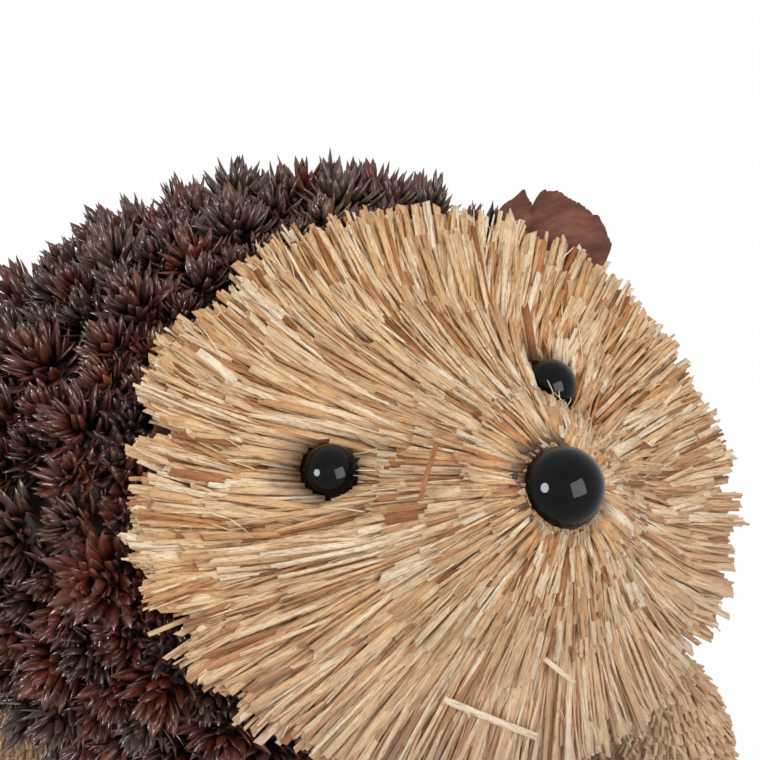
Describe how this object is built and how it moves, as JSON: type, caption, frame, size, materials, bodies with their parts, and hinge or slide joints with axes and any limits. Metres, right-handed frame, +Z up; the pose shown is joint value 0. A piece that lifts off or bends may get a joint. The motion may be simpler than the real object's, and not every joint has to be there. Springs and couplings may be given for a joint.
{
  "type": "hedgehog figurine",
  "caption": "Standing hedgehog figurine with a pointed straw face and ruff, black bead eyes and nose, bark ears, a back covered in varnished seed cones, and straw feet.",
  "frame": {"origin": "on the floor under the middle of the figurine's box", "axes": "+Z up; the hedgehog faces -Y; its left side is at +X"},
  "size_m": [0.2044, 0.2104, 0.1576],
  "materials": {
    "straw": "matt cut straw, cream to orange brown",
    "seed_cone": "dark brown to burgundy scales under clear varnish",
    "bead": "polished black",
    "bark": "matt reddish brown, torn at the edges",
    "foam": "foam painted matt brown",
    "dowel": "plain matt wood"
  },
  "bodies": {
    "root": {"head_core": "foam", "body_core": "foam", "nose_bead": "bead", "eye_left": "bead", "eye_right": "bead", "straw_course_1": "straw", "straw_course_2": "straw", "straw_course_3": "straw", "straw_course_4": "straw", "straw_course_5": "straw", "straw_course_6": "straw", "ear_left": "bark", "ear_right": "bark", "leg_front_left": "dowel", "leg_front_right": "dowel", "leg_rear_left": "dowel", "leg_rear_right": "dowel", "foot_front_left": "straw", "foot_front_right": "straw", "foot_rear_left": "straw", "foot_rear_right": "straw", "cone_row_1": "seed_cone", "cone_row_2": "seed_cone", "cone_row_3": "seed_cone", "cone_row_4": "seed_cone", "cone_row_5": "seed_cone"}
  },
  "joints": []
}
